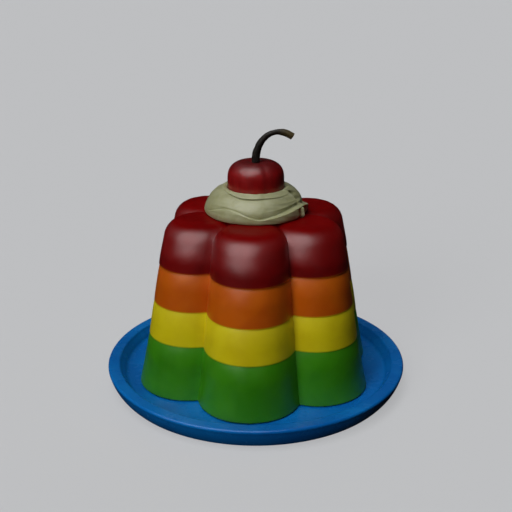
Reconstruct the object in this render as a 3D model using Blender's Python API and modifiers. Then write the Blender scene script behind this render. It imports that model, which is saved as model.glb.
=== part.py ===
"""A moulded jelly in four coloured layers, standing on its plate, with a cream swirl and a cherry.

Metres, +Z up. The origin is the centre of the plate's underside, so the part stands on z = 0.
The six lobes of the jelly are set out evenly from the front, which is -Y.
"""

import math

import bmesh
import bpy

GAP = 0.0003
MERGE = 0.00001
BISECTIONS = 32
SHARP_ANGLE = 40.0

PLATE_RADIUS = 0.0750
PLATE_HEIGHT = 0.0105
PLATE_FLOOR = 0.0050
PLATE_RIM_WIDTH = 0.0062
PLATE_WALL_RUN = 0.0020
PLATE_EDGE_ROUND = 0.0011
PLATE_WELL_ROUND = 0.0022
PLATE_WALL_BOW = 0.0005
PLATE_BASE_RADIUS = 0.0705
PLATE_FOOT_WIDTH = 0.0085
PLATE_RECESS = 0.0012
PLATE_STEPS = 72

LOBES = 6
JELLY_BASE = PLATE_FLOOR + GAP
YELLOW_BASE = 0.0312
ORANGE_BASE = 0.0479
RED_BASE = 0.0661
JELLY_TOP = 0.0873
SPREAD_AT_BASE = 0.0361
SPREAD_AT_RED = 0.0305
LOBE_AT_BASE = 0.0239
LOBE_AT_RED = 0.0184
SLUMP = 0.0008
SLUMP_HEIGHT = 0.0090
SHOULDER = 0.0078
LOBE_DOME = 0.0004
CREASE_FILLET = 0.0030
CORE_RADIUS = 0.0270
CORE_DROP = 0.0008
POINTS_PER_LOBE = 16
CROWN_SIDE_SHARES = (0.0, 0.25, 0.47)
CROWN_TOP_SHARES = (0.60, 0.46, 0.28, 0.12)
SHOULDER_INSET = 0.0030
SHOULDER_STEPS = 6

CHERRY_RADIUS = 0.01365
CHERRY_WIDEST = 0.1031
CHERRY_RISE = 0.0095
CHERRY_DEPTH = 0.0138
CHERRY_FULLNESS = 2.8
DIMPLE_DEPTH = 0.0017
DIMPLE_WIDTH = 0.0046
CHERRY_BANDS = 20
CHERRY_STEPS = 32

CREAM_BASE = JELLY_TOP + GAP
CREAM_RADIUS = 0.0248
CREAM_DOME = 0.0164
CREAM_FULLNESS = 2.0
CREAM_CREST = 0.0127
CREAM_TUCK = 0.0007
LIP_ROUND = 0.0008
CREAM_POINTS = 72
CREAM_RINGS = 16
NEST_RINGS = 5

# Each point of a seam is its angle seen from above, its height over the cream's base and its depth.
LOWER_SEAM = (
    (180, 0.0006, 0.0000),
    (225, 0.0010, 0.0005),
    (270, 0.0018, 0.0011),
    (330, 0.0054, 0.0021),
    (360, 0.0047, 0.0030),
    (450, 0.0078, 0.0018),
    (540, 0.0112, 0.0003),
)
UPPER_SEAM = (
    (210, 0.0122, 0.0002),
    (255, 0.0103, 0.0012),
    (290, 0.0099, 0.0012),
    (330, 0.0088, 0.0014),
    (370, 0.0076, 0.0002),
)
SEAM_SHARPNESS = 0.0002
SEAM_SWELL = 0.0014
SEAM_BULGE = 0.35
FOLD_HEIGHT = 0.0035
TAIL_ANGLE = math.radians(-14.0)
TAIL_WIDTH = 0.0011
TAIL_DEPTH = 0.0010

VIEW_TURN = math.radians(4.8)
STEM_BEND = ((-0.0006, 0.1213), (0.0076, 0.1301))
STEM_TIP = (0.0173, 0.1236)
STEM_FOOT_RADIUS = 0.0021
STEM_NECK_RADIUS = 0.00135
STEM_KNOB_RADIUS = 0.0018
STEM_NECK = 0.70
STEM_KNOB = 0.90
STEM_POINTS = 18

FRONT = -math.pi / 2


def mix(a, b, share):
    return a + (b - a) * share


def smooth_step(share):
    share = min(max(share, 0.0), 1.0)
    return share * share * (3.0 - 2.0 * share)


def smooth_min(a, b, width):
    """The lower of two distances, with a fillet of that width where they are nearly equal."""
    overlap = max(width - abs(a - b), 0.0)
    return min(a, b) - overlap * overlap / (4.0 * width)


def rounded_corner(side, crown, radius):
    """The distance to a side and a crown that meet in an edge of that radius."""
    outside = math.hypot(max(side + radius, 0.0), max(crown + radius, 0.0))
    return min(max(side, crown) + radius, 0.0) + outside - radius


def crossing(distance, low, high):
    """Where the distance turns positive, between low and high."""
    for _ in range(BISECTIONS):
        middle = (low + high) / 2
        if distance(middle) < 0.0:
            low = middle
        else:
            high = middle
    return (low + high) / 2


def clear_scene():
    for obj in list(bpy.data.objects):
        bpy.data.objects.remove(obj)


def make_material(name, colour, roughness):
    material = bpy.data.materials.new(name)
    material.use_nodes = True
    shader = material.node_tree.nodes["Principled BSDF"]
    shader.inputs["Base Color"].default_value = (*colour, 1.0)
    shader.inputs["Roughness"].default_value = roughness
    shader.inputs["Metallic"].default_value = 0.0
    return material


def add_object(name, data, collection, material):
    obj = bpy.data.objects.new(name, data)
    collection.objects.link(obj)
    data.materials.append(material)
    return obj


def shade_smooth(obj):
    obj.data.shade_smooth()
    obj.data.set_sharp_from_angle(angle=math.radians(SHARP_ANGLE))


def loft(name, rings, peak, collection, material):
    """One closed solid: rings of equal count on a flat base, closed at a peak or in a flat top."""
    bm = bmesh.new()
    loops = [[bm.verts.new(point) for point in ring] for ring in rings]
    bm.faces.new(reversed(loops[0]))
    for lower, upper in zip(loops, loops[1:]):
        for i in range(len(lower)):
            j = (i + 1) % len(lower)
            bm.faces.new((lower[i], lower[j], upper[j], upper[i]))
    if peak is None:
        bm.faces.new(loops[-1])
    else:
        tip = bm.verts.new(peak)
        last = loops[-1]
        for i in range(len(last)):
            bm.faces.new((last[i], last[(i + 1) % len(last)], tip))
    mesh = bpy.data.meshes.new(name)
    bm.to_mesh(mesh)
    bm.free()
    obj = add_object(name, mesh, collection, material)
    shade_smooth(obj)
    return obj


def turned(name, profile, steps, collection, material):
    """A profile of (radius, height) points that starts and ends on the axis, turned about Z by a Screw."""
    bm = bmesh.new()
    points = [bm.verts.new((radius, 0.0, height)) for radius, height in profile]
    for upper, lower in zip(points, points[1:]):
        bm.edges.new((upper, lower))
    mesh = bpy.data.meshes.new(name)
    bm.to_mesh(mesh)
    bm.free()
    obj = add_object(name, mesh, collection, material)
    screw = obj.modifiers.new("Turn", "SCREW")
    screw.steps = steps
    screw.render_steps = steps
    screw.use_merge_vertices = True
    screw.merge_threshold = MERGE
    screw.use_smooth_shade = True
    return obj


def arc(centre, radius, start, end, steps):
    """Points of an arc in the profile plane. The angles are in degrees."""
    angles = [math.radians(mix(start, end, i / steps)) for i in range(steps + 1)]
    return [(centre[0] + radius * math.cos(a), centre[1] + radius * math.sin(a)) for a in angles]


def bowed(start, end, bow, steps):
    """Points between two ends in the profile plane, bowed outwards and down. The ends are left out."""
    points = []
    for i in range(1, steps):
        share = i / steps
        swell = 4.0 * bow * share * (1.0 - share)
        points.append((mix(start[0], end[0], share) + swell, mix(start[1], end[1], share) - swell))
    return points


def plate_profile():
    """From the middle of the well, over the rim, down the outer wall and under the foot."""
    rim_inner = PLATE_RADIUS - PLATE_RIM_WIDTH
    well_edge = rim_inner - PLATE_WALL_RUN
    edge = PLATE_EDGE_ROUND
    well = PLATE_WELL_ROUND
    foot_inner = PLATE_BASE_RADIUS - PLATE_FOOT_WIDTH
    profile = [(0.0, PLATE_FLOOR)]
    profile += arc((well_edge - well, PLATE_FLOOR + well), well, -90, -15, 4)
    profile += arc((rim_inner + edge, PLATE_HEIGHT - edge), edge, 165, 90, 3)
    profile += arc((PLATE_RADIUS - edge, PLATE_HEIGHT - edge), edge, 90, -30, 4)
    foot = arc((PLATE_BASE_RADIUS - edge, edge), edge, -30, -90, 2)
    profile += bowed(profile[-1], foot[0], PLATE_WALL_BOW, 4) + foot
    profile += [(foot_inner, 0.0)]
    profile += [(foot_inner - PLATE_RECESS, PLATE_RECESS), (0.0, PLATE_RECESS)]
    return profile


def make_plate(collection):
    blue = make_material("blue_glaze", (0.010, 0.110, 0.360), 0.35)
    return turned("plate", plate_profile(), PLATE_STEPS, collection, blue)


def lobe_spread(z):
    """How far a lobe's own axis stands from the middle at that height."""
    return mix(SPREAD_AT_BASE, SPREAD_AT_RED, (z - JELLY_BASE) / (RED_BASE - JELLY_BASE))


def lobe_radius(z):
    """The lobe tapers upwards, and its foot slumps outwards a little under the jelly's weight."""
    taper = mix(LOBE_AT_BASE, LOBE_AT_RED, (z - JELLY_BASE) / (RED_BASE - JELLY_BASE))
    return taper + SLUMP * math.exp(-(z - JELLY_BASE) / SLUMP_HEIGHT)


def jelly_distance(x, y, z):
    """Below zero inside the moulded shape: six tapered lobes with round shoulders, on a plain core."""
    core = rounded_corner(math.hypot(x, y) - CORE_RADIUS, z - JELLY_TOP + CORE_DROP, SHOULDER)
    spread, radius = lobe_spread(z), lobe_radius(z)
    distance = core
    for lobe in range(LOBES):
        angle = FRONT + lobe * math.tau / LOBES
        reach = math.hypot(x - spread * math.cos(angle), y - spread * math.sin(angle))
        crown = z - JELLY_TOP + LOBE_DOME * (reach / radius) ** 2
        lobe_distance = rounded_corner(reach - radius, crown, SHOULDER)
        distance = smooth_min(distance, lobe_distance, CREASE_FILLET)
    return distance


def jelly_point(angle, origin_height, elevation):
    """The point of the mould's wall on a ray that leaves the axis in that direction."""
    across, up = math.cos(elevation), math.sin(elevation)

    def on_ray(length):
        flat = length * across
        return jelly_distance(flat * math.cos(angle), flat * math.sin(angle), origin_height + length * up)

    length = crossing(on_ray, 0.0, PLATE_RADIUS)
    flat = length * across
    return (flat * math.cos(angle), flat * math.sin(angle), origin_height + length * up)


def jelly_ring(origin_height, elevation=0.0):
    count = LOBES * POINTS_PER_LOBE
    return [jelly_point(FRONT + i * math.tau / count, origin_height, elevation) for i in range(count)]


def make_layer(name, base, top, bands, collection, material):
    """A slice of the moulded shape that runs through the whole jelly."""
    heights = [mix(base, top - GAP, band / bands) for band in range(bands + 1)]
    return loft(name, [jelly_ring(z) for z in heights], None, collection, material)


def crown_elevations():
    """Ray directions for the top layer, close together where the shoulder turns."""
    edge = SPREAD_AT_RED + LOBE_AT_RED
    rise = JELLY_TOP - RED_BASE
    side = [(edge, rise * share) for share in CROWN_SIDE_SHARES]
    turn = arc((edge - SHOULDER - SHOULDER_INSET, rise - SHOULDER), SHOULDER, 10, 90, SHOULDER_STEPS)
    flat = [(edge * share, rise) for share in CROWN_TOP_SHARES]
    return [math.atan2(height, radius) for radius, height in side + turn + flat]


def make_red_layer(collection, material):
    rings = [jelly_ring(RED_BASE, elevation) for elevation in crown_elevations()]
    peak = jelly_point(0.0, RED_BASE, math.pi / 2)
    return loft("jelly_red", rings, peak, collection, material)


def nest_radius(z):
    """The radius at that height of the hollow which the lower half of the cherry rests in."""
    share = min(max((CHERRY_WIDEST - z) / (CHERRY_DEPTH + GAP), 0.0), 1.0)
    return (CHERRY_RADIUS + GAP) * (1.0 - share**CHERRY_FULLNESS) ** (1.0 / CHERRY_FULLNESS)


def dimple_depth(radius):
    return DIMPLE_DEPTH * math.exp(-((radius / DIMPLE_WIDTH) ** 2))


def cherry_profile():
    """A superellipse, deeper below its widest place than above, with the stem's dimple pressed in."""
    power = 2.0 / CHERRY_FULLNESS
    points = [(0.0, CHERRY_WIDEST + CHERRY_RISE - DIMPLE_DEPTH)]
    for i in range(1, CHERRY_BANDS):
        angle = math.pi / 2 - i * math.pi / CHERRY_BANDS
        radius = CHERRY_RADIUS * math.cos(angle) ** power
        share = abs(math.sin(angle)) ** power
        height = CHERRY_RISE * share - dimple_depth(radius) if angle > 0 else -CHERRY_DEPTH * share
        points.append((radius, CHERRY_WIDEST + height))
    return points + [(0.0, CHERRY_WIDEST - CHERRY_DEPTH)]


def make_cherry(collection):
    red = make_material("cherry_skin", (0.130, 0.002, 0.004), 0.25)
    return turned("cherry", cherry_profile(), CHERRY_STEPS, collection, red)


def along(route, angle):
    """A seam's (height, depth) at an angle in degrees, on a smooth curve through the route's points."""
    for i in range(len(route) - 1):
        if route[i][0] <= angle <= route[i + 1][0]:
            before, after = max(i - 1, 0), min(i + 2, len(route) - 1)
            points = (route[before], route[i], route[i + 1], route[after])
            t = (angle - route[i][0]) / (route[i + 1][0] - route[i][0])
            rising = (t * (t * (2 - t) - 1), t * t * (3 * t - 5) + 2)
            falling = (t * (t * (4 - 3 * t) + 1), t * t * (t - 1))
            return [sum(w * p[axis] for w, p in zip(rising + falling, points)) / 2 for axis in (1, 2)]
    return None


def fold_relief(route, angle, height):
    """Over a seam the cream steps in and swells out again, and under it the lower fold bulges."""
    relief = 0.0
    for turn in (0.0, 360.0):
        seam = along(route, math.degrees(angle) % 360.0 + turn)
        if seam:
            above = height - seam[0]
            step = 1.0 / (1.0 + math.exp(-above / SEAM_SHARPNESS))
            bulge = math.exp(-(((above + SEAM_SWELL) / SEAM_SWELL) ** 2))
            relief += seam[1] * (SEAM_BULGE * bulge - step * math.exp(-max(above, 0.0) / FOLD_HEIGHT))
    return relief


def cream_radius(angle, height):
    """The swirl's outline at that height over its base: a dome, with the seams of its folds."""
    dome = CREAM_RADIUS * math.sqrt(1.0 - (height / CREAM_DOME) ** CREAM_FULLNESS)
    tucked = CREAM_TUCK * math.exp(-height / CREAM_TUCK)
    turned = angle - VIEW_TURN
    folds = sum(fold_relief(route, turned, height) for route in (LOWER_SEAM, UPPER_SEAM))
    aside = math.remainder(turned - TAIL_ANGLE, math.tau) * dome
    tail = TAIL_DEPTH * math.exp(-((aside / TAIL_WIDTH) ** 2))
    return dome - tucked + folds - tail


def make_cream(collection):
    """Rings of the outer skin up to the lip, then rings of the nest down to its bottom."""
    white = make_material("cream", (0.560, 0.580, 0.340), 0.50)
    angles = [i * math.tau / CREAM_POINTS for i in range(CREAM_POINTS)]
    heights = [CREAM_CREST * ring / CREAM_RINGS for ring in range(CREAM_RINGS + 1)]
    outlines = [[(cream_radius(a, height), CREAM_BASE + height) for a in angles] for height in heights]
    bottom = CHERRY_WIDEST - CHERRY_DEPTH - GAP
    lip = CREAM_BASE + CREAM_CREST - LIP_ROUND
    for ring in range(NEST_RINGS + 1):
        z = mix(lip, bottom, math.sin(math.pi / 2 * ring / (NEST_RINGS + 1)))
        outlines.append([(nest_radius(z), z)] * CREAM_POINTS)
    rings = []
    for outline in outlines:
        rings.append([(r * math.cos(a), r * math.sin(a), z) for a, (r, z) in zip(angles, outline)])
    return loft("cream", rings, (0.0, 0.0, bottom), collection, white)


def stem_point(share):
    """A point of the stem's bent line, a cubic Bezier curve in an upright plane."""
    foot = CHERRY_WIDEST + CHERRY_RISE - dimple_depth(STEM_FOOT_RADIUS) + GAP
    route = ((0.0, foot), *STEM_BEND, STEM_TIP)
    rest = 1.0 - share
    weights = (rest**3, 3 * share * rest**2, 3 * share**2 * rest, share**3)
    across = sum(w * point[0] for w, point in zip(weights, route))
    height = sum(w * point[1] for w, point in zip(weights, route))
    return across * math.cos(VIEW_TURN), across * math.sin(VIEW_TURN), height


def stem_radius(share):
    """Thick at the fruit, thin at the neck, and swollen where it was picked."""
    taper = mix(STEM_FOOT_RADIUS, STEM_NECK_RADIUS, smooth_step(share / STEM_NECK))
    knob = smooth_step((share - STEM_NECK) / (STEM_KNOB - STEM_NECK))
    return mix(taper, STEM_KNOB_RADIUS, knob)


def make_stem(collection):
    brown = make_material("stem_bark", (0.018, 0.012, 0.006), 0.70)
    curve = bpy.data.curves.new("cherry_stem", "CURVE")
    curve.dimensions = "3D"
    curve.bevel_depth = 1.0
    curve.bevel_resolution = 3
    curve.use_fill_caps = True
    spline = curve.splines.new("POLY")
    spline.points.add(STEM_POINTS - 1)
    for i, point in enumerate(spline.points):
        share = i / (STEM_POINTS - 1)
        point.co = (*stem_point(share), 1.0)
        point.radius = stem_radius(share)
    return add_object("cherry_stem", curve, collection, brown)


def make_jelly(collection):
    """Four layers, each poured on the one that had set before it."""
    green = make_material("green_jelly", (0.035, 0.140, 0.002), 0.15)
    yellow = make_material("yellow_jelly", (0.420, 0.350, 0.008), 0.15)
    orange = make_material("orange_jelly", (0.360, 0.075, 0.002), 0.15)
    red = make_material("red_jelly", (0.120, 0.002, 0.002), 0.15)
    make_layer("jelly_green", JELLY_BASE, YELLOW_BASE, 4, collection, green)
    make_layer("jelly_yellow", YELLOW_BASE, ORANGE_BASE, 2, collection, yellow)
    make_layer("jelly_orange", ORANGE_BASE, RED_BASE, 2, collection, orange)
    make_red_layer(collection, red)


def main():
    clear_scene()
    collection = bpy.data.collections.new("moulded_jelly")
    bpy.context.scene.collection.children.link(collection)
    make_plate(collection)
    make_jelly(collection)
    make_cream(collection)
    make_cherry(collection)
    make_stem(collection)


main()
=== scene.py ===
# %% [markdown]
# # A moulded jelly on its plate
#
# The real object is a dessert: gelatin poured in four colours, one on the other, into a mould with
# six round flutes, then turned out on a small blue plate and topped with a spoonful of cream and a
# cherry. This lesson builds it piece by piece with mesh operators and gives each piece a finish
# made from nodes. A measured model of plain solids is loaded first, and every piece is made in the
# place that the model gives it.

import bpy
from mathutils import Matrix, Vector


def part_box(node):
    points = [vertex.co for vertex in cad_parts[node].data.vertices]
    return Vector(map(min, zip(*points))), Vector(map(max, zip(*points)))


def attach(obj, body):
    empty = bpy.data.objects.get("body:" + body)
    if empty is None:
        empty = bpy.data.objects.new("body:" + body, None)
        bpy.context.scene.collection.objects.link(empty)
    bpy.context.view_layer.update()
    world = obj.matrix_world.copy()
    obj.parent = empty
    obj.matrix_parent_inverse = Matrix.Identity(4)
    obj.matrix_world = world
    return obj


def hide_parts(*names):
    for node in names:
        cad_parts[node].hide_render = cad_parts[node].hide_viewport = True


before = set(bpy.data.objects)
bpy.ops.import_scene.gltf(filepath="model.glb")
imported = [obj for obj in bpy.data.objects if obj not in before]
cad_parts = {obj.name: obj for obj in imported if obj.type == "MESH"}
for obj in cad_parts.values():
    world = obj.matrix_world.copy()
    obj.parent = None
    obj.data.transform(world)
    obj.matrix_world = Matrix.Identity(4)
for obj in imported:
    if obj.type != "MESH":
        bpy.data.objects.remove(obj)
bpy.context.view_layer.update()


def in_mm(*values):
    return [round(value * 1000, 2) for value in values]


# %% Tools
import functools
import math

import bmesh
import bpy
from mathutils import Vector, noise

FRONT = -math.pi / 2
MERGE_DISTANCE = 0.000002

# %% [markdown]
# ## Small helpers
#
# Most pieces here are round things that were poured or squeezed, so one helper is enough for most
# of their meshes: a plain tube of rings. It could be written as a list of vertices and faces, but a
# circle that is extruded again and again gives the same tube with no bookkeeping, and each vertex
# still tells its angle and its ring by where it stands. A second helper then moves every vertex to
# its real place.


# %% Mixing and easing
def mix(a, b, share):
    return a + (b - a) * share


def clamp(value, low=0.0, high=1.0):
    return min(max(value, low), high)


def ease(share):
    """From 0 to 1 with a gentle start and end."""
    share = clamp(share)
    return share * share * (3.0 - 2.0 * share)


def lump(point, size, seed):
    """A smooth random value from -1 to 1 whose lumps are about that size."""
    return noise.noise(Vector(point) / size + Vector((seed, seed * 1.7, -seed)))


# %% A plain tube, and how it is bent into shape
def plain_tube(sides, levels):
    """Rings of unit radius, one unit of height apart."""
    bm = bmesh.new()
    bmesh.ops.create_circle(bm, segments=sides, radius=1.0)
    edges = bm.edges[:]
    for _ in range(levels):
        grown = bmesh.ops.extrude_edge_only(bm, edges=edges)["geom"]
        edges = [part for part in grown if isinstance(part, bmesh.types.BMEdge)]
        verts = [part for part in grown if isinstance(part, bmesh.types.BMVert)]
        bmesh.ops.translate(bm, verts=verts, vec=(0.0, 0.0, 1.0))
    return bm


def bend_tube(bm, place):
    """Moves each vertex to place(angle, level)."""
    for vert in bm.verts:
        vert.co = place(math.atan2(vert.co.y, vert.co.x), round(vert.co.z))


def close_up(bm):
    """Joins what meets in a point, closes open ends and turns the faces outwards."""
    bmesh.ops.remove_doubles(bm, verts=bm.verts, dist=MERGE_DISTANCE)
    ends = [edge for edge in bm.edges if edge.is_boundary]
    filled = bmesh.ops.holes_fill(bm, edges=ends)["faces"]
    bmesh.ops.triangulate(bm, faces=filled)
    bmesh.ops.recalc_face_normals(bm, faces=bm.faces)


# %% From a mesh to a piece of the model
def finished_mesh(name, bm, material):
    """Turns the working mesh into a lasting one, with its finish."""
    mesh = bpy.data.meshes.new(name)
    bm.to_mesh(mesh)
    bm.free()
    mesh.materials.append(material)
    return mesh


def put_in_scene(name, data):
    """An object that shows this mesh, lamp or camera."""
    made = bpy.data.objects.new(name, data)
    bpy.context.scene.collection.objects.link(made)
    return made


def make_piece(name, bm, material, node, sharp_degrees=40.0):
    """The mesh as an object that stands for a measured solid and rides on its body."""
    mesh = finished_mesh(name, bm, material)
    mesh.shade_smooth()
    mesh.set_sharp_from_angle(angle=math.radians(sharp_degrees))
    piece = put_in_scene(name, mesh)
    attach(piece, "root")
    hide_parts(node)
    places = [[vert.co[axis] for vert in mesh.vertices] for axis in range(3)]
    size = in_mm(*(max(values) - min(values) for values in places))
    print(name, "is", size, "mm, in", len(mesh.polygons), "faces")


# %% [markdown]
# ## Helpers for finishes
#
# A finish is a chain of nodes that ends in one shader. Noise in object coordinates works like a
# solid block of the material: the pattern runs through the piece and needs no unwrapping. An image
# would have to be unwrapped onto each piece. The helpers below only save typing.


# %% Node helpers
class Finish:
    """A new material with its one shader, and short calls for the nodes that feed it."""

    def __init__(self, name):
        self.material = bpy.data.materials.new(name)
        self.material.use_nodes = True
        self.tree = self.material.node_tree
        self.shader = self.tree.nodes["Principled BSDF"]
        self.place = self.add("ShaderNodeTexCoord").outputs["Object"]
        self.bumps = None

    def feed(self, socket, value):
        if isinstance(value, bpy.types.NodeSocket):
            self.tree.links.new(value, socket)
        elif isinstance(value, tuple) and len(value) == 3 and socket.type == "RGBA":
            socket.default_value = (*value, 1.0)
        else:
            socket.default_value = value

    def add(self, kind, inputs=None, **settings):
        """A new node, with what goes into its sockets."""
        made = self.tree.nodes.new(kind)
        for key, value in settings.items():
            setattr(made, key, value)
        for key, value in (inputs or {}).items():
            self.feed(made.inputs[key], value)
        return made

    def set(self, **values):
        """Fixed values or patterns for the shader, by the name of the socket."""
        for key, value in values.items():
            self.feed(self.shader.inputs[key.replace("_", " ")], value)

    def coordinate(self, axis):
        """How far a place is along an axis of the piece, in metres."""
        return self.add("ShaderNodeSeparateXYZ", {"Vector": self.place}).outputs[axis]

    def cloud(self, size, detail=3.0, stretch=(1.0, 1.0, 1.0), warp=0.0):
        """Noise from 0 to 1 whose lumps are about that size in metres."""
        stretched = self.add("ShaderNodeMapping", {"Vector": self.place, "Scale": stretch})
        inputs = {"Vector": stretched.outputs[0], "Scale": 1.0 / size}
        inputs |= {"Detail": detail, "Distortion": warp}
        return self.add("ShaderNodeTexNoise", inputs).outputs["Fac"]

    def cells(self, size):
        """The distance to the nearest of many scattered points, in cells of that size."""
        inputs = {"Vector": self.place, "Scale": 1.0 / size}
        return self.add("ShaderNodeTexVoronoi", inputs).outputs["Distance"]

    def span(self, value, start, end, low=0.0, high=1.0):
        """value between start and end becomes low to high, with soft ends."""
        inputs = {"Value": value, "From Min": start, "From Max": end}
        inputs |= {"To Min": low, "To Max": high}
        made = self.add("ShaderNodeMapRange", inputs, interpolation_type="SMOOTHSTEP")
        return made.outputs["Result"]

    def times(self, a, b):
        return self.add("ShaderNodeMath", {0: a, 1: b}, operation="MULTIPLY").outputs[0]

    def blend(self, share, a, b):
        """Colour a turns into colour b by the share."""
        inputs = {"Factor": share, 6: a, 7: b}
        return self.add("ShaderNodeMix", inputs, data_type="RGBA").outputs[2]

    def bump(self, pattern, depth, strength=1.0):
        """Adds relief of that depth in metres to what is there already."""
        inputs = {"Height": pattern, "Distance": depth, "Strength": strength}
        if self.bumps:
            inputs["Normal"] = self.bumps
        self.bumps = self.add("ShaderNodeBump", inputs).outputs["Normal"]
        self.feed(self.shader.inputs["Normal"], self.bumps)


def paint(red, green, blue):
    """A colour given in screen values from 0 to 255, as the renderer's linear values."""
    def linear(value):
        value /= 255.0
        return value / 12.92 if value <= 0.04045 else ((value + 0.055) / 1.055) ** 2.4

    return linear(red), linear(green), linear(blue)


# %% [markdown]
# ## The plate
#
# A small glazed plate: a flat well, a short wall, a raised flat rim with soft edges, and a foot
# ring under it. A potter throws it on a wheel, so the nearest operator is a spin: its profile, from
# the middle of the well round to the middle of the underside, is drawn once with edges and turned
# through a full circle. Bevelling a cylinder would also give a rim, but not the hollow well and the
# bowed outer wall in one skin.

# %% Plate: driving sizes
PLATE_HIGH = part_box("plate")[1]
PLATE_RADIUS = PLATE_HIGH.x
PLATE_RIM_HEIGHT = PLATE_HIGH.z
WELL_CLEARANCE = 0.0003
WELL_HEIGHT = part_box("jelly_green")[0].z - WELL_CLEARANCE
RIM_WIDTH = 0.0062
WALL_RUN = 0.0020
INNER_TILT, OUTER_TILT = 15, 30
EDGE_ROUND = 0.0011
WELL_ROUND = 0.0022
OUTER_WALL_BOW = 0.0005
FOOT_RADIUS = 0.0705
FOOT_WIDTH = 0.0085
FOOT_RECESS = 0.0012
PLATE_SPIN_STEPS = 192
print("plate radius and height in mm:", in_mm(PLATE_RADIUS, PLATE_RIM_HEIGHT))


# %% Plate: the profile
def arc(centre, radius, start, end, steps):
    """The points of an arc as (radius, height), with its angles in degrees."""
    angles = [math.radians(mix(start, end, i / steps)) for i in range(steps + 1)]
    return [(centre[0] + radius * math.cos(a), centre[1] + radius * math.sin(a)) for a in angles]


def straight(start, end, steps, bow=0.0):
    """Points between two ends, without the ends, bowed outwards and down by that much."""
    points = []
    for i in range(1, steps):
        share = i / steps
        swell = 4.0 * bow * share * (1.0 - share)
        points.append((mix(start[0], end[0], share) + swell, mix(start[1], end[1], share) - swell))
    return points


def plate_profile():
    rim_inner = PLATE_RADIUS - RIM_WIDTH
    corner = rim_inner - WALL_RUN - WELL_ROUND
    well = arc((corner, WELL_HEIGHT + WELL_ROUND), WELL_ROUND, -90, -INNER_TILT, 8)
    edge_height = PLATE_RIM_HEIGHT - EDGE_ROUND
    inner_edge = arc((rim_inner + EDGE_ROUND, edge_height), EDGE_ROUND, 180 - INNER_TILT, 90, 8)
    outer_edge = arc((PLATE_RADIUS - EDGE_ROUND, edge_height), EDGE_ROUND, 90, -OUTER_TILT, 12)
    foot = arc((FOOT_RADIUS - EDGE_ROUND, EDGE_ROUND), EDGE_ROUND, -OUTER_TILT, -90, 6)
    foot_inner = FOOT_RADIUS - FOOT_WIDTH
    recess = (foot_inner - FOOT_RECESS, FOOT_RECESS)
    centre = (0.0, WELL_HEIGHT)
    points = [centre] + straight(centre, well[0], 14) + well
    points += straight(well[-1], inner_edge[0], 4) + inner_edge
    points += straight(inner_edge[-1], outer_edge[0], 4) + outer_edge
    points += straight(outer_edge[-1], foot[0], 8, OUTER_WALL_BOW) + foot
    points += [(foot_inner, 0.0)] + straight((foot_inner, 0.0), recess, 3) + [recess]
    return points + straight(recess, (0.0, FOOT_RECESS), 8) + [(0.0, FOOT_RECESS)]


# %% Plate: spin the profile
def spin_profile(points, steps):
    """A profile of (radius, height) points, turned a full circle about the upright axis."""
    bm = bmesh.new()
    verts = [bm.verts.new((radius, 0.0, height)) for radius, height in points]
    edges = [bm.edges.new(pair) for pair in zip(verts, verts[1:])]
    upright = (0.0, 0.0, 1.0)
    bmesh.ops.spin(
        bm, geom=verts + edges, axis=upright, angle=math.tau, steps=steps, use_merge=True
    )
    close_up(bm)
    return bm


# %% [markdown]
# A fired plate is never perfectly even. Its rim rises and falls by a fraction of a millimetre,
# which is what makes a reflection along it wander a little. The vertices are moved by smooth noise
# for that, always a little down rather than up, so that the rim stays inside the measured height.
# The foot stays flat, because the plate stands on it.

# %% Plate: the unevenness of a fired rim
RIM_WAVE = 0.00016
RIM_WAVE_SIZE = 0.045
RIM_WAVE_SINK = 0.6


def wave_the_rim(bm):
    for vert in bm.verts:
        share = ease(vert.co.z / PLATE_RIM_HEIGHT)
        wave = lump((vert.co.x, vert.co.y, 0.0), RIM_WAVE_SIZE, seed=3.1)
        vert.co.z += RIM_WAVE * share * (wave - RIM_WAVE_SINK)


# %% [markdown]
# ## The blue glaze
#
# Glaze is coloured glass over clay. It runs off edges while it melts and gathers in corners, so the
# edges come out a little paler and the corner of the well a little deeper. Here the colour is paler
# just under the top of the rim, in patches, and deeper by a slow noise. A thin clear coat over a
# duller base gives the double highlight of real glaze: a faint sharp one from the glass and a soft
# one from the colour under it.

# %% Plate: glaze
GLAZE_BLUE = paint(12, 116, 198)
GLAZE_DEEP = paint(8, 100, 182)
GLAZE_THIN = paint(34, 134, 210)
POOL_SIZE = 0.028
THIN_BAND_LOW, THIN_BAND_HIGH = PLATE_RIM_HEIGHT - 0.0011, PLATE_RIM_HEIGHT - 0.0001
THIN_PATCH_SIZE = 0.012
SPECK_CELL = 0.0032
SMEAR_SIZE = 0.009
RIPPLE_SIZE, RIPPLE_DEPTH = 0.011, 0.00025
PIT_SIZE, PIT_DEPTH = 0.0012, 0.00003


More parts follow.
